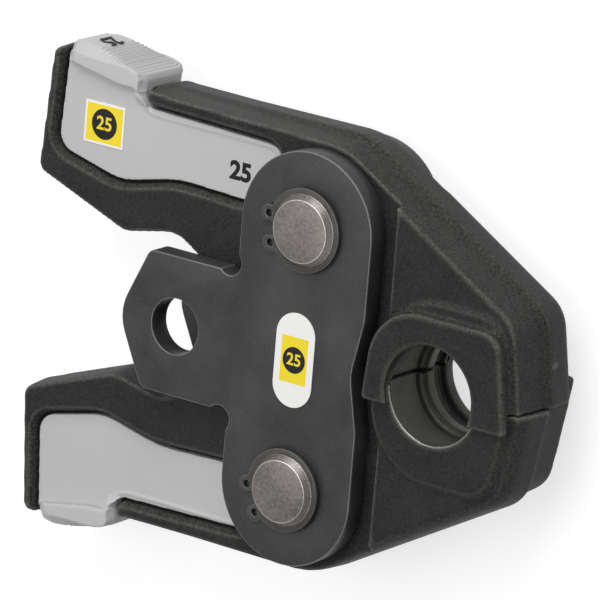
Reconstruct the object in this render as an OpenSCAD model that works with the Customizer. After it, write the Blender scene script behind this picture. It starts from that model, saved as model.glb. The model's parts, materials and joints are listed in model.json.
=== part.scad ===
// Press fitting tool jaw: two forged jaws on pivot pins between two T-shaped side plates.
// The jaw lies flat. The origin is the centre of the tool pin bore, half way through the thickness.
// +X runs to the nose, +Y to the upper jaw and +Z along the bore, to the labelled side.
// The lower jaw is the upper jaw turned half round about the X axis.

/* [Side plates] */
// Diameter of the bore for the retaining pin of the press tool
tool_bore_d = 14; // [12:0.5:15]
// Distance between the two pivot pins
pivot_spacing = 65.2; // [63:0.2:68]
// Distance from the tool pin bore to the line of the pivot pins
pivot_x = 36.5; // [35.5:0.1:38]
// Thickness of each side plate
plate_t = 6; // [4:0.5:8]
// Radius of the plate's round ends
plate_end_r = 19.1; // [17:0.1:20]
// Width of the plate's middle arm
plate_arm_w = 35.3; // [32:0.1:36]
// Depth of the waist in the edge toward the nose
waist_depth = 2.6; // [1:0.1:4]
// Radius of the round reliefs in the inner corners
relief_r = 3.3; // [2:0.1:4]

/* [Pivot pins] */
// Diameter of the pivot pins
pin_d = 18; // [14:0.5:19]
// How far each pin stands out of the plates
pin_proud = 2.8; // [2.2:0.1:4]
// Chamfer at the ends of the pins
pin_chamfer = 1.3; // [0.5:0.1:1.8]
// Thickness of the retaining rings
ring_t = 1.2; // [0.8:0.1:1.6]
// Radial width of the retaining rings
ring_w = 1.9; // [1.4:0.1:2.4]

/* [Jaws] */
// Thickness of the jaws between the side plates
hub_t = 18; // [16:0.5:20]
// Height of the head's face above the hub's face
head_rise = 2.4; // [1.5:0.1:3]
// Height of the boss round the press contour above the head's face
boss_rise = 1.2; // [0.8:0.1:1.6]
// Thickness of the lip that overlaps the other jaw
lip_t = 2.4; // [1.6:0.1:3]
// How far the lip reaches past the parting plane
lip_reach = 4.8; // [3:0.1:5.5]
// Radius of the hub round each pivot pin
hub_r = 20.7; // [20:0.1:22]
// Radius of the crisp forged edge, on the lip's side
crisp_r = 0.9; // [0.5:0.1:1.2]
// Depth of the soft forged edge on the other side
soft_r = 5.5; // [3:0.5:6]
// Draft of the forged sides
forged_draft = 0.4; // [0.2:0.1:0.6]
// How much wider the head is on the side with the soft edge
wide_half = 1.1; // [0.5:0.1:1.5]
// Thickness of the web under the grip clips
web_t = 9.2; // [8:0.2:11]

/* [Press contour] */
// Distance from the tool pin bore to the press contour
contour_x = 74.9; // [74:0.1:76]
// Radius of the press contour at the lips
contour_r = 12.3; // [10:0.1:13]
// Depth of the two press grooves
groove_depth = 2; // [1:0.1:2.6]
// Place of the ridge between the grooves, behind the mid plane
ridge_z = 5; // [3:0.2:7]
// Width of that ridge
ridge_w = 3.6; // [1:0.2:5]

/* [Grips and labels] */
// How far the cheeks of a grip clip lie below the face of the jaw
cheek_sunk = 1.9; // [1:0.1:2.5]
// How far the thumb pad stands above its seat on the jaw
pad_h = 3.5; // [3.2:0.1:4.2]
// Number of ribs on the thumb pad
pad_ribs = 12; // [6:1:16]
// Thickness of the stickers
sticker_t = 0.2; // [0.1:0.05:0.3]
// Length of the oval sticker
oval_l = 23.6; // [18:0.2:26]
// Width of the oval sticker
oval_w = 11.4; // [8:0.2:14]
// Side of the square sticker
square_w = 12.2; // [8:0.2:13]

/* [Spring] */
// Wire diameter of the closing spring
wire_d = 1.9; // [1.2:0.1:2.2]
// Mean radius of the spring's coil
coil_r = 6; // [5:0.1:7]
// Full turns of the coil
coil_turns = 4; // [3:1:5]

/* [Hidden] */
$fn = 96;

run_gap = 0.05;    // running clearance of the pins and of the jaws between the plates
seat_gap = 0.03;   // clearance of a piece in its own seat
lip_gap = 0.2;     // clearance under a lip
part_gap = 0.1;    // gap between the closed jaws
pocket_gap = 0.9;  // gap round the cheeks of the clips
rim_flare = 1.6;   // how far the pocket's wall leans outward at its rim
arc_step = 11;     // degrees between the points of a rounded corner

hub_z = hub_t / 2 - run_gap;
head_z = hub_z + head_rise;
boss_z = head_z + boss_rise;
lip_z0 = boss_z + lip_gap;
lip_z1 = lip_z0 + lip_t;
plate_z0 = hub_t / 2;
plate_z1 = plate_z0 + plate_t;
pin_r = pin_d / 2;
pin_z = plate_z1 + pin_proud;
pivot_y = pivot_spacing / 2;
groove_r = pin_r - 0.55;
ring_in = groove_r + seat_gap;
ring_r = groove_r + ring_w;
lug_a = 20;
arm_y = plate_arm_w / 2;
web_z = web_t / 2;
cheek_z = hub_z - cheek_sunk;
outer_y = pivot_y + hub_r;
size = pivot_spacing / 65.2;    // how large this jaw is beside the one that the outlines were drawn for
oval_x = pivot_x - 0.3 * size;
square_x = -31.7 * size;
square_y = 43.1 * size;

// The seat of the thumb pad rises from the hub side to the rear flange
seat_x = -19.4 * size;
seat_y = 54.1 * size;
seat_l = 25.6 * size;
seat_slope = 11;
pad_z = hub_z + 0.2 * size;
ribbed_l = seat_l * 0.67;

function unit(v) = v / norm(v);
function flat2(p) = [p[0], p[1]];

// The arc that rounds corner b, given as [x, y, radius], between its neighbours a and c
function corner(a, b, c) =
    let (p = flat2(b), u = unit(flat2(a) - p), v = unit(flat2(c) - p),
         half = acos(max(-1, min(1, u * v))) / 2,
         turn = sign(cross(-u, v)),
         centre = p + unit(u + v) * b[2] / sin(half),
         start = p + u * b[2] / tan(half) - centre,
         a0 = atan2(start[1], start[0]),
         sweep = (180 - 2 * half) * turn,
         n = max(1, ceil(abs(sweep) / arc_step)))
    b[2] == 0 ? [p] :
    [for (i = [0:n]) centre + b[2] * [cos(a0 + sweep * i / n), sin(a0 + sweep * i / n)]];

// A closed outline from corners [x, y, radius], each rounded to its own radius
function rounded(p) =
    let (n = len(p))
    [for (i = [0:n - 1]) each corner(p[(i + n - 1) % n], p[i], p[(i + 1) % n])];

// Grows from 0 at the rear arm to 1 at the hub and head
function headward(x) = max(0, min(1, (x + 5) / 30));

// The outline moved inward by d and outward by wide toward the head, for anticlockwise points
function inset(outline, d, wide = 0) =
    let (n = len(outline))
    [for (i = [0:n - 1])
        let (e0 = unit(outline[i] - outline[(i + n - 1) % n]),
             e1 = unit(outline[(i + 1) % n] - outline[i]),
             n0 = [-e0[1], e0[0]], n1 = [-e1[1], e1[0]])
        outline[i] + (d - wide * headward(outline[i][0])) * (n0 + n1) / (1 + n0 * n1)];

// A solid through the outline's layers, each layer [height, inset, how much wider at the head]
module layered(outline, layers) {
    n = len(outline);
    m = len(layers);
    points = [for (l = layers) for (p = inset(outline, l[1], len(l) > 2 ? l[2] : 0)) [p[0], p[1], l[0]]];
    sides = [for (k = [0:m - 2]) for (i = [0:n - 1]) let (i1 = (i + 1) % n) each [
        [k * n + i, (k + 1) * n + i, (k + 1) * n + i1], [k * n + i, (k + 1) * n + i1, k * n + i1]]];
    polyhedron(points, concat(sides,
        [[for (i = [0:n - 1]) i]], [[for (i = [n - 1:-1:0]) (m - 1) * n + i]]));
}

// Layers of the forging: a soft edge and a wider half behind, a crease at mid plane, a crisp edge
jaw_layers = concat(
    [for (a = [90:-22.5:0]) [-head_z + soft_r * (1 - sin(a)), soft_r * 0.55 * (1 - cos(a)), wide_half]],
    [[-0.8, -forged_draft, wide_half], [0.4, -forged_draft / 2, wide_half / 3], [1.4, -0.02, 0]],
    [for (a = [0:45:90]) [head_z - crisp_r * (1 - sin(a)), forged_draft + crisp_r * (1 - cos(a)), 0]]);

// A corner placed from the thumb pad's seat: u mm along it to the rear and v mm outward, radius r
function at_seat(u, v, r) = [
    seat_x - u * cos(seat_slope) + v * sin(seat_slope),
    seat_y + u * sin(seat_slope) + v * cos(seat_slope), r];

// Outlines of the upper jaw, anticlockwise, as corners [x, y, radius]
jaw_outline = rounded(concat(
    size * [[101.4, -12, 0], [95.6, 22.0, 9]],
    [[pivot_x + 0.27 * hub_r, outer_y, hub_r], [4 * size, outer_y + 0.9 * size, 40 * size],
     at_seat(-1.4 * size, 1.1 * size, 20 * size), at_seat(seat_l + 3.6 * size, 1.9 * size, 3.2 * size)],
    size * [[-50.2, 28.2, 3], [-22, 17.9, 7], [-6.2, 21.2, 9], [5, 14.4, 7], [28, 13.2, 12],
            [44, 13.6, 8], [54.7, -12, 0]]));
boss_outline = rounded(size * [[98.7, -12, 0], [92.6, 22.6, 8], [57.0, 22.9, 18], [57.3, -12, 0]]);
lip_outline = rounded([
    [97.4 * size, -lip_reach, size], size * [93.7, 19.4, 5.5], size * [58.0, 19.4, 14],
    [55.9 * size, -lip_reach, size]]);
milled_outline = rounded(size * [[-70, -30, 0], [58.2, -30, 0], [59.8, 13, 20], [59, 70, 0], [-70, 70, 0]]);
cheek_outline = rounded(concat(
    size * [[-45.5, 35.1, 5], [-25.5, 30.2, 16], [-8, 34.2, 30], [23, 33.0, 4], [22.6, 48.7, 5]],
    [at_seat(0, -4.1 * size, 3.2 * size), at_seat(0.6 * size, pad_h - 1, 0),
     at_seat(seat_l - 0.4 * size, pad_h - 2.2 * size, 0)]));

module at_pad_seat() {
    translate([seat_x, seat_y, 0]) rotate([0, 0, -seat_slope]) children();
}

// The turned shape that leaves the press contour. The front groove is wide and the back one narrow.
// The lip's side needs a longer land, and front is 1 where the lip is at the front of the jaw.
module contour_cutter(front) {
    land = 1.2;
    lip_land = lip_z1 - 0.7;
    boss_land = boss_z - 0.7;
    wide = [boss_z - land, -ridge_z + ridge_w / 2];
    narrow = [-ridge_z - ridge_w / 2, -boss_z + land];
    grooves = front == 1 ? [narrow, wide] : [-wide, -narrow];
    translate([contour_x, 0, 0]) rotate_extrude() polygon(concat(
        [[0, -boss_land - 2], [contour_r + 2, -boss_land - 2], [contour_r, -boss_land]],
        [for (g = grooves) let (z0 = min(g[0], g[1]), z1 = max(g[0], g[1])) for (a = [180:-20:0])
            [contour_r + groove_depth * min(1, 1.5 * sin(a)), (z0 + z1) / 2 + (z1 - z0) / 2 * cos(a)]],
        [[contour_r, lip_land], [contour_r + 2, lip_land + 2], [0, lip_land + 2]]));
}

// The space of the other jaw's head, which ends at the parting plane, from height z up
module below_parting(z, height) {
    reach = 20 * size;
    translate([2 * reach, part_gap / 2 - reach, z]) cube([3.5 * reach, reach, height]);
}

// The upper jaw without its lip: hub and arm milled thinner than the forged head
module forged_blank() {
    difference() {
        union() {
            difference() {
                layered(jaw_outline, jaw_layers);
                for (side = [0, 1]) mirror([0, 0, side])
                    translate([0, 0, hub_z]) linear_extrude(head_rise + 1) polygon(milled_outline);
            }
            layered(boss_outline, [[-boss_z, 0.7], [-boss_z + 0.7, 0], [boss_z - 0.7, 0], [boss_z, 0.7]]);
        }
        below_parting(-hub_t, 2 * hub_t);
    }
}

// The lip stands on the front of the jaw and reaches past the parting plane
module lip() {
    difference() {
        layered(lip_outline, [[hub_z, 0], [lip_z1 - 0.6, 0], [lip_z1, 0.6]]);
        below_parting(0, lip_z0);
    }
}

module jaw(front) {
    color("#3a3a3b") difference() {
        union() {
            forged_blank();
            lip();
        }
        contour_cutter(front);
        translate([pivot_x, pivot_y, -plate_z0]) cylinder(r = pin_r + run_gap, h = 2 * plate_z0);
        for (side = [0, 1]) mirror([0, 0, side]) layered(cheek_outline, [
            [web_z, -pocket_gap], [cheek_z, -pocket_gap], [hub_z + 1, -pocket_gap - rim_flare]]);
        at_pad_seat() translate([-seat_l - 0.3, 0, -hub_t]) cube([seat_l + 1.2, 20, 2 * hub_t]);
    }
}

// One clip: a cheek on each face of the arm, joined by the thumb pad over its outer edge. A rim
// stands up at the hub end of the pad, and the grooves stop short of the pad's two sides.
module grip_clip() {
    pitch = (ribbed_l - 1.6) / pad_ribs;
    groove_cut = 0.45;
    groove_w = 0.3 * pitch;
    side_profile = [
        [0, seat_gap], [-0.5, pad_h - 1.2], [-1.3, pad_h - 0.15], [-1.9, pad_h], [-ribbed_l, pad_h],
        [-ribbed_l - (seat_l - ribbed_l) * 0.55, pad_h - 0.3],
        [-seat_l + 1, pad_h - 1], [-seat_l + 0.3, pad_h - 1.7], [-seat_l, pad_h - 2.6],
        [-seat_l, seat_gap]];
    color("#c4c5c4") {
        for (side = [0, 1]) mirror([0, 0, side]) {
            translate([0, 0, web_z + seat_gap])
                linear_extrude(cheek_z - web_z - seat_gap) polygon(cheek_outline);
            translate([0, 0, cheek_z - 1]) linear_extrude(pad_z - cheek_z + 0.5) intersection() {
                polygon(cheek_outline);
                at_pad_seat() translate([-2, -3.4]) square([4, 2.4 + pad_h]);
            }
        }
        difference() {
            at_pad_seat() linear_extrude(2 * pad_z, center = true) polygon(side_profile);
            for (i = [0:pad_ribs]) at_pad_seat()
                translate([-1.6 - (i + 0.5) * pitch, pad_h + groove_w - groove_cut, 0])
                    cylinder(r = groove_w, h = 2 * (pad_z - 0.9), center = true);
        }
    }
}

// One side plate, lying on the plane z = 0: round ends, a middle arm and a waist
module side_plate() {
    waist_x = pivot_x + plate_end_r - waist_depth;
    edge_x = pivot_x + plate_end_r;
    back_x = pivot_x - plate_end_r;
    color("#4a4a4b") linear_extrude(plate_t) difference() {
        union() {
            for (side = [-1, 1]) translate([pivot_x, side * pivot_y]) circle(plate_end_r);
            polygon(rounded([
                [back_x, -pivot_y, 0], [edge_x, -pivot_y, 0], [edge_x, -14 * size, 8 * size],
                [waist_x - 0.2 * size, 0, 12 * size], [edge_x, 14 * size, 8 * size],
                [edge_x, pivot_y, 0], [back_x, pivot_y, 0]]));
            polygon(rounded([
                [pivot_x, -arm_y, 0], [pivot_x, arm_y, 0], [-9.2 * size, arm_y, 2.6 * size],
                [-17.5 * size, 0, 11.4 * size], [-9.2 * size, -arm_y, 2.6 * size]]));
        }
        for (side = [-1, 1])
            translate([back_x - relief_r + 0.9, side * (arm_y + relief_r - 1.15)]) circle(relief_r);
        circle(d = tool_bore_d);
        for (side = [-1, 1]) translate([pivot_x, side * pivot_y]) circle(pin_r + seat_gap);
    }
}

// One pivot pin, upright on its own axis, with a groove for each retaining ring
module pivot_pin() {
    groove_z0 = plate_z1 + seat_gap;
    groove_z1 = groove_z0 + ring_t + 2 * seat_gap;
    half = [[pin_r, groove_z0], [groove_r, groove_z0], [groove_r, groove_z1], [pin_r, groove_z1],
            [pin_r, pin_z - pin_chamfer], [pin_r - pin_chamfer, pin_z]];
    color("#8d8681") rotate_extrude() polygon(concat(
        [[0, pin_z], [0, -pin_z]],
        [for (i = [len(half) - 1:-1:0]) [half[i][0], -half[i][1]]], half));
}

// One retaining ring, lying on the plane z = 0, with its gap toward -X and a lug at each end
module retaining_ring() {
    lug_r = ring_r + 0.2;
    color("#6b6a68") linear_extrude(ring_t) difference() {
        union() {
            circle(ring_r);
            for (a = [-lug_a, lug_a]) rotate(180 + a) translate([lug_r, 0]) circle(2.2);
        }
        circle(ring_in);
        polygon([[0, 0], 20 * [cos(170), sin(170)], 20 * [cos(190), sin(190)]]);
        for (a = [-lug_a, lug_a]) rotate(180 + a) translate([lug_r, 0]) circle(1);
    }
}

// The path of the spring's wire: a leg, the coil and the other leg
coil_x = 34 * size;
leg_tip = size * [13, 12.1];
leg_a = 73.5;
coil_sweep = 2 * leg_a + 360 * coil_turns;
coil_z = (wire_d + 0.12) * coil_sweep / 720;
coil_n = round(coil_sweep / 15);
spring_path = concat(
    [[leg_tip[0], -leg_tip[1], -coil_z], [leg_tip[0] + 10, -leg_tip[1] + 2.85, -coil_z]],
    [for (i = [0:coil_n]) let (a = -leg_a + coil_sweep * i / coil_n)
        [coil_x + coil_r * cos(a), coil_r * sin(a), -coil_z + 2 * coil_z * i / coil_n]],
    [[leg_tip[0] + 10, leg_tip[1] - 2.85, coil_z], [leg_tip[0], leg_tip[1], coil_z]]);

// A round wire along a path that runs nearly level
module wire(path, r, sides = 8) {
    n = len(path);
    points = [for (i = [0:n - 1])
        let (t = unit(path[min(i + 1, n - 1)] - path[max(i - 1, 0)]),
             across = unit([t[1], -t[0], 0]), up = cross(across, t))
        for (k = [0:sides - 1]) path[i] + r * (cos(360 * k / sides) * across - sin(360 * k / sides) * up)];
    polyhedron(points, concat(
        [for (i = [0:n - 2]) for (k = [0:sides - 1]) let (k1 = (k + 1) % sides) each [
            [i * sides + k, (i + 1) * sides + k, (i + 1) * sides + k1],
            [i * sides + k, (i + 1) * sides + k1, i * sides + k1]]],
        [[for (k = [0:sides - 1]) k]], [[for (k = [sides - 1:-1:0]) (n - 1) * sides + k]]));
}

module upper_jaw() jaw(1);
module lower_jaw() rotate([180, 0, 0]) jaw(-1);
module front_side_plate() translate([0, 0, plate_z0]) side_plate();
module back_side_plate() translate([0, 0, -plate_z1]) side_plate();
module upper_pivot_pin() translate([pivot_x, pivot_y, 0]) pivot_pin();
module lower_pivot_pin() translate([pivot_x, -pivot_y, 0]) pivot_pin();
module ring_at(side, z, turn)
    translate([pivot_x, side * pivot_y, z]) rotate([0, 0, turn]) retaining_ring();
module upper_front_ring() ring_at(1, plate_z1 + 2 * seat_gap, 8);
module lower_front_ring() ring_at(-1, plate_z1 + 2 * seat_gap, 25);
module upper_back_ring() ring_at(1, -plate_z1 - 2 * seat_gap - ring_t, -14);
module lower_back_ring() ring_at(-1, -plate_z1 - 2 * seat_gap - ring_t, 10);
module closing_spring() color("#5d5c5a") wire(spring_path, wire_d / 2);
module upper_grip_clip() grip_clip();
module lower_grip_clip() rotate([180, 0, 0]) grip_clip();
module plate_label() {
    color("#f2f1ef") translate([oval_x, 0, plate_z1]) linear_extrude(sticker_t) {
        for (side = [-1, 1]) translate([0, side * (oval_l - oval_w) / 2]) circle(d = oval_w);
        square([oval_w, oval_l - oval_w], center = true);
    }
}
module grip_label() {
    color("#f6df52") translate([square_x, square_y, cheek_z]) linear_extrude(sticker_t)
        square([square_w, square_w * 0.87], center = true);
}

upper_jaw();
lower_jaw();
front_side_plate();
back_side_plate();
upper_pivot_pin();
lower_pivot_pin();
upper_front_ring();
lower_front_ring();
upper_back_ring();
lower_back_ring();
closing_spring();
upper_grip_clip();
lower_grip_clip();
plate_label();
grip_label();
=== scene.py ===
# %% [markdown]
# # A press fitting tool jaw, dressed for a studio picture
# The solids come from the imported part, the frame. This lesson gives them the soft edges of a forging,
# the finishes of their steels and plastic, and the prints on the grips and stickers.
# Each finished piece is a copy of its solid, so that it keeps the real sizes, and rides on the same body.

# %% Load the frame
import json
import math

import bpy
from mathutils import Matrix, Vector

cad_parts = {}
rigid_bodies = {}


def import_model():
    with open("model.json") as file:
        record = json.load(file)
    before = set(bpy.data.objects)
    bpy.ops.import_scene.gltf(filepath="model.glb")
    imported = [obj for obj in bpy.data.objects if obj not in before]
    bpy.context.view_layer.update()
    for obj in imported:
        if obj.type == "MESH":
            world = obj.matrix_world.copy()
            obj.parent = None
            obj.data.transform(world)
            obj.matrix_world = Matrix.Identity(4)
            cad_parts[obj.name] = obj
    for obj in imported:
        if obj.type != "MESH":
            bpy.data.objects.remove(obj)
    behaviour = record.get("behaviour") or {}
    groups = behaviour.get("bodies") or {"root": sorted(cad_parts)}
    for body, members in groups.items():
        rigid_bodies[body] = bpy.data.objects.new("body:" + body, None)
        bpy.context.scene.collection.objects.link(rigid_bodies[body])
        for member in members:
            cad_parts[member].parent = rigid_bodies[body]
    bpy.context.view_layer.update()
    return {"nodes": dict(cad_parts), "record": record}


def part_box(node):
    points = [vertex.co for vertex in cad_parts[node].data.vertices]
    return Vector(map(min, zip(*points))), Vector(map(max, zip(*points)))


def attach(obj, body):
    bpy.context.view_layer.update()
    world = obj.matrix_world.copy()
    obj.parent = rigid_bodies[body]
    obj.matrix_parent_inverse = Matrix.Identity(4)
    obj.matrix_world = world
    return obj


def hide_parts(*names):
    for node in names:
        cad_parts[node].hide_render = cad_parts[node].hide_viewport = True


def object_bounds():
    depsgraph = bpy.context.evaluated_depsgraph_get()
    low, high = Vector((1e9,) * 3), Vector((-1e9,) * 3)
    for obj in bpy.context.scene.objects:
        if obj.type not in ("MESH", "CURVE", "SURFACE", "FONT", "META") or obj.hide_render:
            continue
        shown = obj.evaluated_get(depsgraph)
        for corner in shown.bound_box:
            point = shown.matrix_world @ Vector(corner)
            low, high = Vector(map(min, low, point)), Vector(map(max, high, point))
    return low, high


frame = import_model()
MM = 0.001

# %% [markdown]
# ## Helpers
# Colours are written as they look on a screen and turned to linear light, which is what shaders add up.
# One function adds a shader node, sets its values and joins it to the sockets given to it.

# %% Helpers for materials
def srgb(text):
    """The linear colour of a hex value such as #c4c5c4."""
    values = [int(text[i:i + 2], 16) / 255 for i in (1, 3, 5)]
    return [v / 12.92 if v <= 0.04045 else ((v + 0.055) / 1.055) ** 2.4 for v in values] + [1.0]


def add(tree, kind, inputs=(), **settings):
    """Adds a node. inputs holds a value or another node's socket for each named or numbered socket."""
    node = tree.nodes.new(kind)
    for key, value in settings.items():
        setattr(node, key, value)
    for key, value in dict(inputs).items():
        if isinstance(value, bpy.types.NodeSocket):
            tree.links.new(value, node.inputs[key])
        else:
            node.inputs[key].default_value = value
    return node


def new_material(name):
    """An empty material: its tree, the surface shader and the object's own coordinates."""
    material = bpy.data.materials.new(name)
    material.use_nodes = True
    tree = material.node_tree
    tree.nodes.clear()
    shader = add(tree, "ShaderNodeBsdfPrincipled")
    output = add(tree, "ShaderNodeOutputMaterial")
    tree.links.new(shader.outputs[0], output.inputs[0])
    place = add(tree, "ShaderNodeTexCoord")
    return material, tree, shader, place


def set_shader(tree, shader, inputs):
    """Sets or joins the sockets of the surface shader."""
    for key, value in inputs.items():
        if isinstance(value, bpy.types.NodeSocket):
            tree.links.new(value, shader.inputs[key])
        else:
            shader.inputs[key].default_value = value


print("white is", [round(v, 3) for v in srgb("#ffffff")])

# %% [markdown]
# ## Forged steel
# The jaws are drop forged, shot blasted and blackened. The blasted skin is gritty and dull and has soft
# patches, while the milled faces are finer. The faces that look along Z are also painted darker, as
# painted shade. Ridges are painted paler, partly as wear and partly as painted highlight, which draws the
# edge lines.
# The press contour is turned last, so it shows smooth greyer steel, with a painted highlight on one half
# of its chamfer.

# %% Forged and blackened steel
GRIT = 0.65 * MM       # real shot marks are near 0.3 mm, drawn coarser so that they show
PATCH = 9 * MM
TURNED = 0.9 * MM      # spacing of the turning marks
contour = next(m for m in frame["record"]["mounts"] if m["name"] == "press_contour")
CONTOUR_PLACE = Vector(contour["pos_m"])
CONTOUR_R = contour["dims"]["r_mm"] * MM
forged_steel, t, shader, place = new_material("blackened_forged_steel")
grit = add(t, "ShaderNodeTexNoise", {"Vector": place.outputs["Object"], "Scale": 1 / GRIT,
                                     "Detail": 3.0, "Roughness": 0.7})
patch = add(t, "ShaderNodeTexNoise", {"Vector": place.outputs["Object"], "Scale": 1 / PATCH,
                                      "Detail": 5.0, "Roughness": 0.65})
normal = add(t, "ShaderNodeSeparateXYZ", {0: place.outputs["Normal"]})
level = add(t, "ShaderNodeMath", {0: normal.outputs["Z"]}, operation="ABSOLUTE")
# Faces that look along Z get less grit and a darker tone: partly the finer milled faces, partly painted
# shade.
skin = add(t, "ShaderNodeMapRange", {"Value": level.outputs[0], "From Min": 0.75, "From Max": 0.98,
                                     "To Min": 1.0, "To Max": 0.4})
speck = add(t, "ShaderNodeMapRange", {"Value": grit.outputs[0], "From Min": 0.33, "From Max": 0.72})
grit_and_face_shade = add(t, "ShaderNodeMath", {0: speck.outputs[0], 1: skin.outputs[0]}, operation="MULTIPLY")
soft = add(t, "ShaderNodeMath", {0: patch.outputs[0], 1: 0.36}, operation="MULTIPLY")
tone = add(t, "ShaderNodeMath", {0: grit_and_face_shade.outputs[0], 1: 0.85, 2: soft.outputs[0]},
           operation="MULTIPLY_ADD")
colour = add(t, "ShaderNodeValToRGB", {0: tone.outputs[0]})
colour.color_ramp.elements[0].position = 0.15
colour.color_ramp.elements[0].color = srgb("#0e0e0e")
colour.color_ramp.elements[1].position = 1.0
colour.color_ramp.elements[1].color = srgb("#4f4f4d")
bend = add(t, "ShaderNodeNewGeometry")
# Ridges found by pointiness are painted paler: partly rubbed wear, partly painted highlight on the edges.
ridge = add(t, "ShaderNodeMapRange", {"Value": bend.outputs["Pointiness"], "From Min": 0.51,
                                      "From Max": 0.56})
speck_share = add(t, "ShaderNodeMapRange", {"Value": speck.outputs[0], "To Min": 0.3, "To Max": 0.9})
rub_and_highlight = add(t, "ShaderNodeMath", {0: ridge.outputs[0], 1: speck_share.outputs[0]}, operation="MULTIPLY")
worn_and_highlit = add(t, "ShaderNodeMix", {"Factor": rub_and_highlight.outputs[0], 6: colour.outputs[0], 7: srgb("#7f7e7b")},
           data_type="RGBA")
print(forged_steel.name, "contour radius", round(CONTOUR_R / MM, 2), "mm")

# %% The turned press contour in the same material, with a painted highlight on one half of its chamfer
spot = add(t, "ShaderNodeSeparateXYZ", {0: place.outputs["Object"]})
flat = add(t, "ShaderNodeCombineXYZ", {0: spot.outputs["X"], 1: spot.outputs["Y"]})
radius = add(t, "ShaderNodeVectorMath", {0: flat.outputs[0], 1: (CONTOUR_PLACE.x, CONTOUR_PLACE.y, 0)},
             operation="DISTANCE")
near = add(t, "ShaderNodeMapRange", {"Value": radius.outputs["Value"], "From Min": CONTOUR_R + 2.6 * MM,
                                     "From Max": CONTOUR_R + 2.3 * MM})
steep = add(t, "ShaderNodeMapRange", {"Value": level.outputs[0], "From Min": 0.9, "From Max": 0.7})
turned = add(t, "ShaderNodeMath", {0: near.outputs[0], 1: steep.outputs[0]}, operation="MULTIPLY")
mark = add(t, "ShaderNodeMath", {0: spot.outputs["Z"], 1: 2 * math.pi / TURNED}, operation="MULTIPLY")
wave = add(t, "ShaderNodeMath", {0: mark.outputs[0]}, operation="SINE")
rake = add(t, "ShaderNodeMapRange", {"Value": level.outputs[0], "From Min": 0.35, "From Max": 0.6})
depth = add(t, "ShaderNodeMath", {0: spot.outputs["Z"]}, operation="ABSOLUTE")
# A bright band at the mouth of the bore, on one half only, is a painted highlight on the chamfer.
mouth = add(t, "ShaderNodeMath", {0: depth.outputs[0], 1: 12.2 * MM, 2: 1.0 * MM},
            operation="COMPARE")
side = add(t, "ShaderNodeMath", {0: spot.outputs["Y"], 1: spot.outputs["Z"]}, operation="MULTIPLY")
half = add(t, "ShaderNodeMath", {0: side.outputs[0], 1: 0.0}, operation="LESS_THAN")
chamfer_highlight_zone = add(t, "ShaderNodeMath", {0: mouth.outputs[0], 1: half.outputs[0]}, operation="MULTIPLY")
painted_chamfer_highlight = add(t, "ShaderNodeMath", {0: rake.outputs[0], 1: chamfer_highlight_zone.outputs[0]}, operation="MULTIPLY")
bronze = add(t, "ShaderNodeMix", {"Factor": patch.outputs[0], 6: srgb("#2f2f2d"), 7: srgb("#6b6a67")},
             data_type="RGBA")
steel = add(t, "ShaderNodeMix", {"Factor": painted_chamfer_highlight.outputs[0], 6: bronze.outputs[2],
                                 7: srgb("#a8a6a0")}, data_type="RGBA")
skin_colour = add(t, "ShaderNodeMix", {"Factor": turned.outputs[0], 6: worn_and_highlit.outputs[2],
                                       7: steel.outputs[2]}, data_type="RGBA")
dull = add(t, "ShaderNodeMapRange", {"Value": grit.outputs[0], "From Min": 0.3, "From Max": 0.7,
                                     "To Min": 0.45, "To Max": 0.7})
gloss = add(t, "ShaderNodeMix", {"Factor": turned.outputs[0], 2: dull.outputs[0], 3: 0.38})
sheen = add(t, "ShaderNodeMath", {0: turned.outputs[0], 1: 0.5}, operation="MULTIPLY")
relief = add(t, "ShaderNodeMath", {0: grit.outputs[0], 1: skin.outputs[0]}, operation="MULTIPLY")
marks = add(t, "ShaderNodeMath", {0: wave.outputs[0], 1: 0.05}, operation="MULTIPLY")
height = add(t, "ShaderNodeMix", {"Factor": turned.outputs[0], 2: relief.outputs[0],
                                  3: marks.outputs[0]})
bump = add(t, "ShaderNodeBump", {"Height": height.outputs[0], "Strength": 0.8,
                                 "Distance": 0.3 * MM})
set_shader(t, shader, {"Base Color": skin_colour.outputs[2], "Roughness": gloss.outputs[0],
                       "Normal": bump.outputs[0], "Metallic": sheen.outputs[0],
                       "Specular IOR Level": 0.15})
print("nodes", len(t.nodes))

# %% [markdown]
# ## The other steels
# The side plates are cut from plate, tumbled and blackened, so they are even and satin. The pins are
# ground and left bright under a thin oil. Rings and spring are spring steel, phosphated dark grey.

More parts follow.
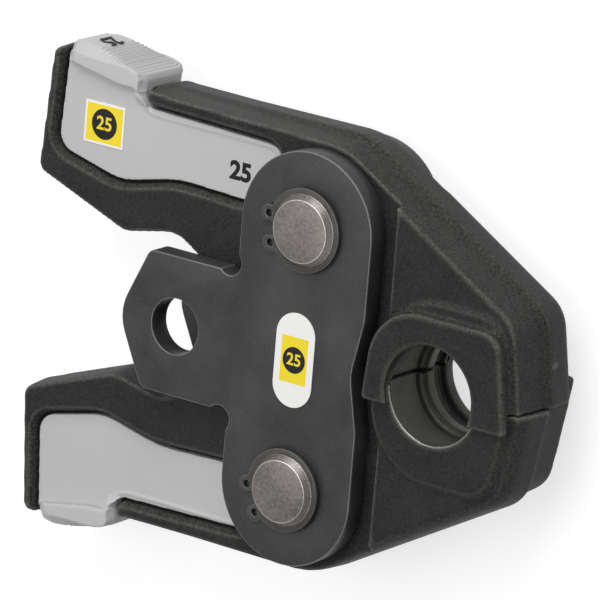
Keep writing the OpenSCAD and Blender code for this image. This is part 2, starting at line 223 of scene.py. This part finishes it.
# %% Satin black plate and its rubbed edges, painted paler as wear and painted highlight
def satin_steel(name, dark, light, grain, roughness, metallic, streak=(1.0, 1.0, 1.0)):
    """A steel whose tone and gloss vary with a fine grain. streak stretches the grain along an axis."""
    material, tree, shader, place = new_material(name)
    along = add(tree, "ShaderNodeMapping", {"Vector": place.outputs["Object"], "Scale": streak})
    fine = add(tree, "ShaderNodeTexNoise", {"Vector": along.outputs[0], "Scale": 1 / grain,
                                            "Detail": 4.0, "Roughness": 0.6})
    cloud = add(tree, "ShaderNodeTexNoise", {"Vector": place.outputs["Object"],
                                             "Scale": 1 / (14 * MM), "Detail": 3.0})
    both = add(tree, "ShaderNodeMath", {0: fine.outputs[0], 1: cloud.outputs[0]}, operation="ADD")
    tone = add(tree, "ShaderNodeMapRange", {"Value": both.outputs[0], "From Min": 0.7,
                                            "From Max": 1.3})
    mixed = add(tree, "ShaderNodeMix", {"Factor": tone.outputs[0], 6: srgb(dark), 7: srgb(light)},
                data_type="RGBA")
    gloss = add(tree, "ShaderNodeMapRange", {"Value": both.outputs[0], "From Min": 0.7,
                                             "From Max": 1.3, "To Min": roughness - 0.07,
                                             "To Max": roughness + 0.07})
    bump = add(tree, "ShaderNodeBump", {"Height": fine.outputs[0], "Strength": 0.25,
                                        "Distance": 0.05 * MM})
    set_shader(tree, shader, {"Base Color": mixed.outputs[2], "Roughness": gloss.outputs[0],
                              "Normal": bump.outputs[0], "Metallic": metallic,
                              "Specular IOR Level": 0.25})
    return material


plate_steel = satin_steel("blackened_steel_plate", "#272728", "#454544", 0.5 * MM, 0.45, 0.0)
# The bevels of plates and rings are painted paler: partly rubbed wear, partly painted highlight.
rubbed_highlit_edge_steel = satin_steel("rubbed_and_highlit_black_edge", "#5c5b5a", "#757472", 0.4 * MM, 0.4, 0.4)
ring_steel = satin_steel("phosphated_spring_steel", "#3c3b3a", "#4b4a48", 0.4 * MM, 0.42, 0.2)
spring_steel = satin_steel("drawn_spring_wire", "#454442", "#5d5b58", 0.3 * MM, 0.35, 0.6)
pin_face = satin_steel("ground_pin_face", "#575351", "#7b7673", 0.8 * MM, 0.38, 1.0)
# The pins' bevels are painted much lighter than their faces, a painted highlight on the turned rims.
pin_rim_highlight = satin_steel("turned_pin_rim_highlight", "#8f8b86", "#c9c5bf", 0.4 * MM, 0.3, 1.0)
print("steels", [m.name for m in (plate_steel, rubbed_highlit_edge_steel, ring_steel, spring_steel, pin_face,
                                   pin_rim_highlight)])

# %% [markdown]
# ## Moulded grips, films and ink
# The clips are glass filled nylon from a spark eroded mould, which leaves a fine even haze. Stickers are
# printed film with a slight gloss, and the numbers are dull pad printing ink.

# %% Moulded nylon
MOULD = 0.35 * MM
grip_nylon, t, shader, place = new_material("moulded_grey_nylon")
haze = add(t, "ShaderNodeTexNoise", {"Vector": place.outputs["Object"], "Scale": 1 / MOULD,
                                     "Detail": 2.0})
flow = add(t, "ShaderNodeTexNoise", {"Vector": place.outputs["Object"], "Scale": 1 / (20 * MM),
                                     "Detail": 3.0})
tone = add(t, "ShaderNodeMix", {"Factor": flow.outputs[0], 6: srgb("#bebfbe"), 7: srgb("#c8c8c7")},
           data_type="RGBA")
bump = add(t, "ShaderNodeBump", {"Height": haze.outputs[0], "Strength": 0.25,
                                 "Distance": 0.04 * MM})
set_shader(t, shader, {"Base Color": tone.outputs[2], "Roughness": 0.5, "Normal": bump.outputs[0],
                       "IOR": 1.5})
print(grip_nylon.name)


# %% Printed film and ink
def film(name, colour, roughness):
    """A thin printed film or ink: one colour with a faint unevenness of its gloss."""
    material, tree, shader, place = new_material(name)
    cloud = add(tree, "ShaderNodeTexNoise", {"Vector": place.outputs["Object"],
                                             "Scale": 1 / (1.5 * MM), "Detail": 2.0})
    gloss = add(tree, "ShaderNodeMapRange", {"Value": cloud.outputs[0], "To Min": roughness - 0.05,
                                             "To Max": roughness + 0.05})
    set_shader(tree, shader, {"Base Color": srgb(colour), "Roughness": gloss.outputs[0],
                              "Specular IOR Level": 0.2})
    return material


black_ink = film("black_ink", "#0b0b0c", 0.6)
yellow_ink = film("yellow_ink", "#fde23c", 0.4)


def sticker(name, node, field, border):
    """White film with a yellow field and a dark disc in it, centred on a sticker's node.
    field is the half width and half height of the yellow in metres, border the disc's radius."""
    low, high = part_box(node)
    middle = (Vector(low) + Vector(high)) / 2
    material, tree, shader, place = new_material(name)
    centred = add(tree, "ShaderNodeVectorMath", {0: place.outputs["Object"], 1: middle},
                  operation="SUBTRACT")
    spot = add(tree, "ShaderNodeSeparateXYZ", {0: centred.outputs[0]})
    inside = []
    for axis, half in zip("XY", field):
        size = add(tree, "ShaderNodeMath", {0: spot.outputs[axis]}, operation="ABSOLUTE")
        inside.append(add(tree, "ShaderNodeMath", {0: size.outputs[0], 1: half},
                          operation="LESS_THAN"))
    yellow = add(tree, "ShaderNodeMath", {0: inside[0].outputs[0], 1: inside[1].outputs[0]},
                 operation="MULTIPLY")
    radius = add(tree, "ShaderNodeVectorMath", {0: centred.outputs[0]}, operation="LENGTH")
    within = add(tree, "ShaderNodeMath", {0: radius.outputs["Value"], 1: border},
                 operation="LESS_THAN")
    cloud = add(tree, "ShaderNodeTexNoise", {"Vector": place.outputs["Object"],
                                             "Scale": 1 / (1.5 * MM), "Detail": 2.0})
    gloss = add(tree, "ShaderNodeMapRange", {"Value": cloud.outputs[0], "To Min": 0.3,
                                             "To Max": 0.42})
    ground = add(tree, "ShaderNodeMix", {"Factor": yellow.outputs[0], 6: srgb("#fdfdfb"),
                                         7: srgb("#ffe638")}, data_type="RGBA")
    colour = add(tree, "ShaderNodeMix", {"Factor": within.outputs[0], 6: ground.outputs[2],
                                         7: srgb("#161617")}, data_type="RGBA")
    set_shader(tree, shader, {"Base Color": colour.outputs[2], "Roughness": gloss.outputs[0],
                              "Specular IOR Level": 0.2})
    sheet = frame["nodes"][node]
    sheet.data.materials.clear()
    sheet.data.materials.append(material)
    print(name, "on", node)


low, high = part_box("grip_label")
sticker("square_size_sticker", "grip_label",
        ((high[0] - low[0]) / 2 - 0.55 * MM, (high[1] - low[1]) / 2 - 0.55 * MM), 3.9 * MM)
low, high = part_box("plate_label")
sticker("oval_size_sticker", "plate_label", (3.9 * MM, 5.8 * MM), 3.3 * MM)

# %% [markdown]
# ## From solid to finished piece
# A CAD solid has mathematically sharp edges, which no real part has. Each copy is merged, because a
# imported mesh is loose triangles. Forged and moulded pieces are then remeshed on a fine grid and
# smoothed, which rounds every edge at once. Cut and turned pieces keep their crisp faces and only get
# a narrow bevel.

# %% Helpers for pieces
BODY_OF = {node: body for body, names in frame["record"]["behaviour"]["bodies"].items()
           for node in names}


def copy_of(node, name):
    """A merged copy of a CAD node, free of its parent, selected and active."""
    bpy.ops.object.select_all(action="DESELECT")
    source = frame["nodes"][node]
    source.select_set(True)
    bpy.context.view_layer.objects.active = source
    bpy.ops.object.duplicate()
    piece = bpy.context.object
    bpy.ops.object.parent_clear(type="CLEAR_KEEP_TRANSFORM")
    piece.name = name
    piece.data.materials.clear()
    bpy.ops.object.mode_set(mode="EDIT")
    bpy.ops.mesh.select_all(action="SELECT")
    bpy.ops.mesh.remove_doubles(threshold=0.002 * MM)
    bpy.ops.object.mode_set(mode="OBJECT")
    return piece


def relax(piece, passes):
    """Smooths a piece's mesh that many times."""
    smooth = piece.modifiers.new("smooth", "SMOOTH")
    smooth.factor = 0.5
    smooth.iterations = passes
    bpy.ops.object.modifier_apply(modifier="smooth")


def remeshed(piece, grid, passes):
    """Rounds all edges: a new skin on a grid of that size, smoothed that many times."""
    skin = piece.modifiers.new("skin", "REMESH")
    skin.mode = "VOXEL"
    skin.voxel_size = grid
    skin.use_smooth_shade = True
    bpy.ops.object.modifier_apply(modifier="skin")
    relax(piece, passes)
    bpy.ops.object.shade_smooth()


def bevelled(piece, width, segments=2):
    """Breaks the sharp edges of a cut or turned piece. The new faces take the second material."""
    bpy.ops.object.mode_set(mode="EDIT")
    bpy.ops.mesh.select_all(action="SELECT")
    bpy.ops.mesh.dissolve_limited(angle_limit=math.radians(0.5))
    bpy.ops.object.mode_set(mode="OBJECT")
    edge = piece.modifiers.new("edge", "BEVEL")
    edge.limit_method = "ANGLE"
    edge.angle_limit = math.radians(28)
    edge.width = width
    edge.segments = segments
    edge.material = 1
    bpy.ops.object.modifier_apply(modifier="edge")
    bpy.ops.object.shade_smooth_by_angle(angle=math.radians(30))


def finish_piece(piece, node, slot, *materials):
    """Gives a piece its materials and its body, in place of its CAD node; slot is not used."""
    for material in materials:
        piece.data.materials.append(material)
    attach(piece, BODY_OF[node])
    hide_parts(node)
    triangles = sum(len(p.vertices) - 2 for p in piece.data.polygons)
    print(piece.name, "on", BODY_OF[node], triangles, "triangles")


# %% [markdown]
# ## The jaws
# The forging's edges are soft, so the jaws are remeshed on a grid near half a millimetre.

# %% Jaws
for side in ("upper", "lower"):
    jaw = copy_of(side + "_jaw", side + "_forging")
    remeshed(jaw, 0.55 * MM, 4)
    finish_piece(jaw, side + "_jaw", "forged_steel", forged_steel)

# %% [markdown]
# ## The grip clips
# The mould gives the clips round rims and soft ribs, so they are remeshed too, on a finer grid. Before
# that a round bead is joined on. It comes down from the corner of the thumb pad and follows the edge
# of the cheek to the hub. The pad is crowned where the number stands, so its top is raised there.

# %% Places on the thumb pad
PAD_SLOPE = math.radians(11)
PAD_SEAT = Vector((-19.4, 54.1)) * MM      # hub end of the pad's seat
PAD_L, PAD_H = 25.6 * MM, 3.5 * MM
cheek_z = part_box("grip_label")[0][2]
pad_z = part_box("upper_grip_clip")[1][2]


def at_pad(along, out, z):
    """The point that many metres along the seat to the rear, out from it and up."""
    return Vector((PAD_SEAT.x - along * math.cos(PAD_SLOPE) + out * math.sin(PAD_SLOPE),
                   PAD_SEAT.y + along * math.sin(PAD_SLOPE) + out * math.cos(PAD_SLOPE), z))


def smooth_step(value, start, end):
    """Rises smoothly from 0 at start to 1 at end."""
    share = max(0.0, min(1.0, (value - start) / (end - start)))
    return share * share * (3 - 2 * share)


print("pad from", at_pad(0, 0, pad_z), "to", at_pad(PAD_L, 0, pad_z))

# %% Bead and crown
BEAD_R = 0.65 * MM


def bead(face):
    """The bead of the upper clip's cheek on the front (face 1) or back (face -1) of the arm."""
    low, high = cheek_z - 0.4 * MM, pad_z - BEAD_R
    path = [at_pad(0.8 * MM, 2.6 * MM, high), at_pad(0.8 * MM, 0.5 * MM, high),
            at_pad(0.8 * MM, -1.2 * MM, high - 0.4 * MM), at_pad(0.7 * MM, -2.6 * MM, low + 0.6 * MM),
            at_pad(-0.1 * MM, -3.9 * MM, low), at_pad(-1.7 * MM, -4.6 * MM, low),
            at_pad(-4.0 * MM, -5.0 * MM, low), Vector((18 * MM, 48.3 * MM, low)),
            Vector((20.9 * MM, 47.7 * MM, low)), Vector((22.1 * MM, 45.2 * MM, low)),
            Vector((22.2 * MM, 40 * MM, low))]
    bpy.ops.object.select_all(action="DESELECT")
    bpy.ops.curve.primitive_nurbs_path_add()
    curve = bpy.context.object
    curve.data.splines.clear()
    line = curve.data.splines.new("NURBS")
    line.points.add(len(path) - 1)
    line.order_u = 3
    line.use_endpoint_u = True
    for point, place in zip(line.points, path):
        point.co = (place.x, place.y, face * place.z, 1)
    curve.data.bevel_depth = BEAD_R
    curve.data.bevel_resolution = 4
    curve.data.use_fill_caps = True
    bpy.ops.object.convert(target="MESH")
    return bpy.context.object


def crown(piece, flip):
    """Shapes the pad: higher where the number stands, lower at its sides, with soft corners."""
    for vertex in piece.data.vertices:
        place = Vector((vertex.co.x, flip * vertex.co.y)) - PAD_SEAT
        along = -place.x * math.cos(PAD_SLOPE) + place.y * math.sin(PAD_SLOPE)
        out = place.x * math.sin(PAD_SLOPE) + place.y * math.cos(PAD_SLOPE)
        if out < -4 * MM or along < -1 * MM:
            continue
        z = abs(vertex.co.z)
        edge = smooth_step(z, 6.4 * MM, pad_z)
        above = smooth_step(out, -0.4 * MM, 0.3 * MM)
        ramp = max(0, min(1, along / (19 * MM)))
        rise = (1.4 * ramp * (2 - ramp) + 0.4 * smooth_step(along, 24 * MM, PAD_L)
                - 2.7 * smooth_step(along, 3 * MM, 22 * MM) * edge) * MM
        rise *= max(0, out) / PAD_H
        overhang = smooth_step(z, cheek_z, cheek_z + 0.4 * MM) * (out > -0.5 * MM)
        rise -= (1.2 * MM * overhang * (0.3 + 0.7 * smooth_step(along, 1 * MM, 9 * MM))
                 * (1 - smooth_step(out, 0, 2.2 * MM)))
        back = (0.4 * above + 1.3 * edge * smooth_step(out, -3.2 * MM, -1.2 * MM)) * MM
        back *= max(0, 1 - along / (6 * MM))
        back -= (1.9 * MM * smooth_step(along, 5 * MM, 16 * MM) * smooth_step(out, 1 * MM, 2.5 * MM)
                 * (1 - smooth_step(along, 18 * MM, PAD_L)))
        back -= 1.1 * MM * overhang * smooth_step(along, 20 * MM, PAD_L)
        rear = smooth_step(along, PAD_L - 6 * MM, PAD_L + 1.5 * MM) * above
        column = cheek_z + 0.4 * MM + (pad_z - cheek_z) * smooth_step(out, -4.5 * MM, 0)
        step = at_pad(along + back, out + rise, 0) - at_pad(along, out, 0)
        vertex.co.x += step.x
        vertex.co.y += flip * step.y
        z = min(z, column) * (1 - 0.25 * rear ** 2)
        vertex.co.z = math.copysign(z, vertex.co.z)


for side, flip in (("upper", 1), ("lower", -1)):
    parts = [bead(1), bead(-1)]
    for part in parts:
        for vertex in part.data.vertices:
            vertex.co.y *= flip
    clip = copy_of(side + "_grip_clip", side + "_clip")
    for part in parts:
        part.select_set(True)
    bpy.ops.object.join()
    remeshed(clip, 0.28 * MM, 1)
    crown(clip, flip)
    relax(clip, 2)
    finish_piece(clip, side + "_grip_clip", "grip_plastic", grip_nylon)

# %% [markdown]
# ## Plates, pins and rings
# These are cut, turned or punched, so they keep flat faces and only lose the sharpness of their edges.

# %% Plates
for side in ("front", "back"):
    plate = copy_of(side + "_side_plate", side + "_plate")
    plate.data.materials.append(plate_steel)
    plate.data.materials.append(rubbed_highlit_edge_steel)
    bevelled(plate, 0.3 * MM)
    finish_piece(plate, side + "_side_plate", "plate_steel")

# %% Pins and rings
for side in ("upper", "lower"):
    pin = copy_of(side + "_pivot_pin", side + "_pin")
    pin.data.materials.append(pin_face)
    pin.data.materials.append(pin_rim_highlight)
    bevelled(pin, 0.12 * MM)
    finish_piece(pin, side + "_pivot_pin", "pin_steel")
    for end in ("front", "back"):
        ring = copy_of(f"{side}_{end}_ring", f"{side}_{end}_circlip")
        ring.data.materials.append(ring_steel)
        ring.data.materials.append(rubbed_highlit_edge_steel)
        bevelled(ring, 0.12 * MM)
        finish_piece(ring, f"{side}_{end}_ring", "ring_steel")

# %% Spring
spring = copy_of("closing_spring", "spring")
bpy.ops.object.shade_smooth_by_angle(angle=math.radians(50))
finish_piece(spring, "closing_spring", "spring_steel", spring_steel)

# %% [markdown]
# ## Printed numbers
# The size of the jaw is printed on the grips in black. Text is flat and has no place of its own in the
# model, so it is turned into a mesh, given its size and place, and sunk a little into the plastic.

# %% Helper for numbers
def print_number(name, height, weight, middle, right, up, body, ink=black_ink):
    """A 25 of that height and weight on a face, reading along right with its top toward up."""
    bpy.ops.object.select_all(action="DESELECT")
    bpy.ops.object.text_add()
    number = bpy.context.object
    number.data.body = "25"
    number.data.align_x = "CENTER"
    number.data.align_y = "CENTER"
    number.data.offset = weight
    number.data.extrude = 0.008
    bpy.ops.object.convert(target="MESH")
    number = bpy.context.object
    number.name = name
    turn = Matrix((right, up, right.cross(up))).transposed().to_4x4()
    scale = Matrix.Diagonal((1.04 * height / 0.7, height / 0.7, height / 0.7, 1))
    number.matrix_world = Matrix.Translation(middle) @ turn @ scale
    bpy.ops.object.transform_apply(location=True, rotation=True, scale=True)
    number.data.materials.append(ink)
    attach(number, body)
    print(name, "at", [round(v / MM, 1) for v in middle])
    return number


# %% Numbers on the cheek and on the thumb pad
X, Y, Z = Vector((1, 0, 0)), Vector((0, 1, 0)), Vector((0, 0, 1))
pad_up = (at_pad(0, 0.3, 0) - at_pad(4.65, 0, 0)).normalized()
pad_spot = at_pad(20.0 * MM, 3.43 * MM, 0.4 * MM)
for side, body, flip in (("upper", "upper_lever", 1), ("lower", "lower_lever", -1)):
    turn = Matrix.Diagonal((1, flip, flip))
    print_number(side + "_cheek_number", 4.4 * MM, 0.038, turn @ Vector((10.4 * MM, 39.9 * MM, cheek_z)),
                 X, turn @ Y, body)
    number = print_number(side + "_pad_number", 3.7 * MM, 0.02, turn @ pad_spot, turn @ Z, turn @ pad_up,
                          body)
    crown(number, flip)
for node, body, height, slot in (("grip_label", "upper_lever", 3.3 * MM, "label_yellow"),
                                 ("plate_label", "plates", 2.9 * MM, "label_white")):
    low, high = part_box(node)
    middle = Vector(((low[0] + high[0]) / 2, (low[1] + high[1]) / 2, high[2]))
    print_number(node + "_number", height, 0.02, middle, X, Y, body, yellow_ink)

# %% [markdown]
# ## Camera
# The picture was taken from the nose side and slightly above the parting plane, from far away with a
# long lens. The camera's place is given by its angles round the jaw's Y axis.

# %% Camera
AZIMUTH, ELEVATION, ROLL = math.radians(34.72), math.radians(15.65), math.radians(4.75)
DISTANCE = 1.340
AIM = Vector((27.75, 10.89, 2.48)) * MM
back = Vector((math.sin(AZIMUTH) * math.cos(ELEVATION), math.sin(ELEVATION),
               math.cos(AZIMUTH) * math.cos(ELEVATION)))
level_right = Vector((0, 1, 0)).cross(back).normalized()
level_up = back.cross(level_right)
right = level_right * math.cos(ROLL) + level_up * math.sin(ROLL)
up = back.cross(right)
bpy.ops.object.select_all(action="DESELECT")
bpy.ops.object.camera_add()
camera = bpy.context.object
camera.matrix_world = Matrix.Translation(AIM + back * DISTANCE) @ Matrix(
    (right, up, back)).transposed().to_4x4()
camera.data.lens = 331.46
camera.data.sensor_width = 36
camera.data.clip_end = 20
bpy.context.scene.camera = camera
print("camera at", [round(v, 3) for v in camera.location])

# %% [markdown]
# ## Floor and light
# The jaw lies on its back plate on a white table. A large soft lamp stands beyond the upper jaw, as a
# studio's top light does, and a weaker one near the camera opens the front faces.

# %% Floor
low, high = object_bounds()
bpy.ops.mesh.primitive_plane_add(size=4, location=(0, 0, low[2] - 0.1 * MM))
floor = bpy.context.object
floor.name = "table_top"
table_white, t, shader, place = new_material("white_table_top")
grain = add(t, "ShaderNodeTexNoise", {"Vector": place.outputs["Object"], "Scale": 1 / (30 * MM)})
path = add(t, "ShaderNodeLightPath")
seen = add(t, "ShaderNodeMath", {0: path.outputs["Is Camera Ray"],
                                 1: path.outputs["Is Glossy Ray"]}, operation="MAXIMUM")
lift = add(t, "ShaderNodeMath", {0: seen.outputs[0], 1: 0.7}, operation="MULTIPLY")
rough = add(t, "ShaderNodeMapRange", {"Value": grain.outputs[0], "To Min": 0.85, "To Max": 0.95})
set_shader(t, shader, {"Base Color": srgb("#c4c4c4"), "Roughness": rough.outputs[0],
                       "Specular IOR Level": 0.0, "Emission Color": srgb("#ffffff"),
                       "Emission Strength": lift.outputs[0]})
floor.data.materials.append(table_white)
print("table top at", round(low[2] / MM, 2), "mm")

# %% World
world = bpy.data.worlds.new("studio")
bpy.context.scene.world = world
world.use_nodes = True
t = world.node_tree
t.nodes.clear()
path = add(t, "ShaderNodeLightPath")
seen = add(t, "ShaderNodeMath", {0: path.outputs["Is Camera Ray"],
                                 1: path.outputs["Is Glossy Ray"]}, operation="MAXIMUM")
clear = add(t, "ShaderNodeMath", {0: seen.outputs[0], 1: path.outputs["Is Transmission Ray"]},
            operation="MAXIMUM")
strength = add(t, "ShaderNodeMapRange", {"Value": clear.outputs[0], "To Min": 0.25, "To Max": 1.0})
sky = add(t, "ShaderNodeBackground", {"Color": srgb("#ffffff"), "Strength": strength.outputs[0]})
output = add(t, "ShaderNodeOutputWorld", {"Surface": sky.outputs[0]})


# %% Lamps
def lamp(name, place, size, power):
    """A square soft lamp at a place given in metres, aimed at the jaw."""
    bpy.ops.object.select_all(action="DESELECT")
    bpy.ops.object.light_add(type="AREA", location=place)
    light = bpy.context.object
    light.name = name
    light.data.size = size
    light.data.energy = power
    light.rotation_euler = (Vector(place) - AIM).to_track_quat("Z", "Y").to_euler()
    return light


lamp("top_light", (0.1, 1.1, 0.75), 0.9, 10.5)
lamp("front_light", (-0.3, 0.2, 1.3), 0.9, 6.2)
bpy.context.scene.view_settings.view_transform = "Standard"
